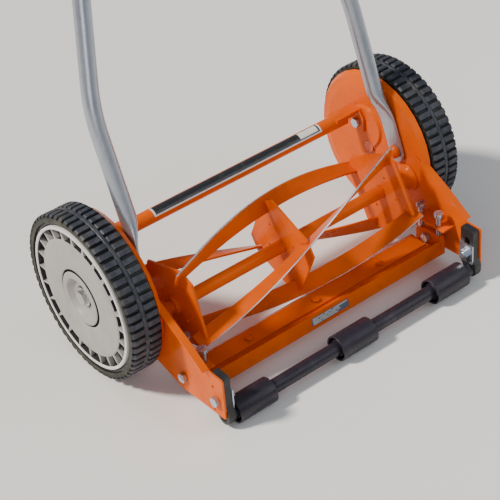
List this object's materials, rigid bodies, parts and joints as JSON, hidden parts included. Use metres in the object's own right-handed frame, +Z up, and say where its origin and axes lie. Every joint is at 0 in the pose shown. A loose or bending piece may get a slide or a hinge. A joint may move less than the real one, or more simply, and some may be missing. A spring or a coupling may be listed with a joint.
{
  "type": "reel mower",
  "caption": "Push reel mower with geared wheels, a spiral-bladed reel, a bed knife, a rear roller on height brackets and a folding tee handle.",
  "frame": {"origin": "on the ground under the middle of the mower's box, 48.5 mm ahead of the wheel axle", "axes": "+Z up, +Y the way the mower travels, +X along the axles to the mower's right as seen from behind it"},
  "size_m": [0.5148, 0.514, 1.0822],
  "materials": {
    "orange_paint": "gloss orange paint with light orange-peel",
    "blade_paint": "orange paint, worn to bare metal along the cutting edge",
    "zinc": "bright zinc plating",
    "handle_tube": "satin silver-grey paint",
    "black_plastic": "moulded, fine texture",
    "tread": "moulded, lugged tread",
    "hubcap_grey": "moulded grey with a faint sheen",
    "gear_steel": "sintered steel, oiled",
    "foam": "closed-cell foam"
  },
  "bodies": {
    "frame": {"left_side_plate": "orange_paint", "right_side_plate": "orange_paint", "tie_bar": "orange_paint", "left_tie_bar_bolt": "zinc", "left_axle_bolt": "zinc", "left_reel_bearing": "orange_paint", "left_handle_stud": "orange_paint", "left_height_clamp_bolt": "zinc", "left_bed_bar_pivot_bolt": "zinc", "right_tie_bar_bolt": "zinc", "right_axle_bolt": "zinc", "right_reel_bearing": "orange_paint", "right_handle_stud": "orange_paint", "right_height_clamp_bolt": "zinc", "right_bed_bar_pivot_bolt": "zinc"},
    "left_wheel": {"left_tyre": "tread", "left_wheel_rim": "black_plastic", "left_hubcap": "hubcap_grey"},
    "right_wheel": {"right_tyre": "tread", "right_wheel_rim": "black_plastic", "right_hubcap": "hubcap_grey"},
    "left_pinion": {"left_pinion": "gear_steel"},
    "right_pinion": {"right_pinion": "gear_steel"},
    "reel": {"reel_shaft": "orange_paint", "reel_spider_left": "orange_paint", "reel_spider_middle": "orange_paint", "reel_spider_right": "orange_paint", "reel_blade_1": "blade_paint", "reel_blade_2": "blade_paint", "reel_blade_3": "blade_paint", "reel_blade_4": "blade_paint"},
    "bed_knife": {"bed_bar": "orange_paint", "bed_knife": "blade_paint", "knife_screw_left": "blade_paint", "knife_screw_middle": "blade_paint", "knife_screw_right": "blade_paint"},
    "front_screws": {"left_front_adjusting_screw": "zinc", "right_front_adjusting_screw": "zinc"},
    "rear_screws": {"left_rear_adjusting_screw": "zinc", "right_rear_adjusting_screw": "zinc"},
    "left_bracket": {"left_height_bracket": "black_plastic"},
    "right_bracket": {"right_height_bracket": "black_plastic"},
    "roller": {"roller_rod": "black_plastic", "roller_left": "black_plastic", "roller_middle": "black_plastic", "roller_right": "black_plastic"},
    "handle": {"left_handle_arm": "handle_tube", "right_handle_arm": "handle_tube", "handle_stem": "handle_tube", "handle_grip_bar": "handle_tube", "left_foam_grip": "foam", "right_foam_grip": "foam", "handle_bolt_lower": "zinc", "handle_bolt_upper": "zinc"}
  },
  "joints": [
    {"name": "left_wheel_spin", "type": "hinge", "parent": "frame", "child": "left_wheel", "pos_m": [-0.236, -0.0485, 0.108], "axis": [1, 0, 0], "continuous": true},
    {"name": "right_wheel_spin", "type": "hinge", "parent": "frame", "child": "right_wheel", "pos_m": [0.236, -0.0485, 0.108], "axis": [1, 0, 0], "continuous": true},
    {"name": "left_pinion_spin", "type": "hinge", "parent": "frame", "child": "left_pinion", "pos_m": [-0.226, -0.11887, 0.09279], "axis": [1, 0, 0], "continuous": true},
    {"name": "right_pinion_spin", "type": "hinge", "parent": "frame", "child": "right_pinion", "pos_m": [0.226, -0.11887, 0.09279], "axis": [1, 0, 0], "continuous": true},
    {"name": "reel_spin", "type": "hinge", "parent": "frame", "child": "reel", "pos_m": [0, -0.11887, 0.09279], "axis": [1, 0, 0], "continuous": true},
    {"name": "bed_knife_tilt", "type": "hinge", "parent": "frame", "child": "bed_knife", "pos_m": [0, -0.1735, 0.036], "axis": [1, 0, 0], "range_deg": [-5, 0.8]},
    {"name": "front_screws_travel", "type": "slide", "parent": "frame", "child": "front_screws", "axis": [0, 0, 1], "range_m": [-0.0015, 0.0004]},
    {"name": "rear_screws_travel", "type": "slide", "parent": "frame", "child": "rear_screws", "axis": [0, 0, 1], "range_m": [-0.0004, 0.0017]},
    {"name": "left_height_slide", "type": "slide", "parent": "frame", "child": "left_bracket", "axis": [0, 0, 1], "range_m": [-0.018, 0]},
    {"name": "right_height_slide", "type": "slide", "parent": "frame", "child": "right_bracket", "axis": [0, 0, 1], "range_m": [-0.018, 0]},
    {"name": "roller_spin", "type": "hinge", "parent": "left_bracket", "child": "roller", "pos_m": [0, -0.2405, 0.0165], "axis": [1, 0, 0], "continuous": true},
    {"name": "handle_fold", "type": "hinge", "parent": "frame", "child": "handle", "pos_m": [0, -0.1015, 0.126], "axis": [1, 0, 0], "range_deg": [-14, 110]}
  ],
  "couplings": [
    {"joint": "left_pinion_spin", "follows": "left_wheel_spin", "ratio": 5},
    {"joint": "reel_spin", "follows": "left_wheel_spin", "ratio": 5},
    {"joint": "right_pinion_spin", "follows": "right_wheel_spin", "ratio": 5},
    {"joint": "front_screws_travel", "follows": "bed_knife_tilt", "m_per_rad": 0.015},
    {"joint": "rear_screws_travel", "follows": "bed_knife_tilt", "m_per_rad": -0.017},
    {"joint": "right_height_slide", "follows": "left_height_slide", "ratio": 1}
  ]
}
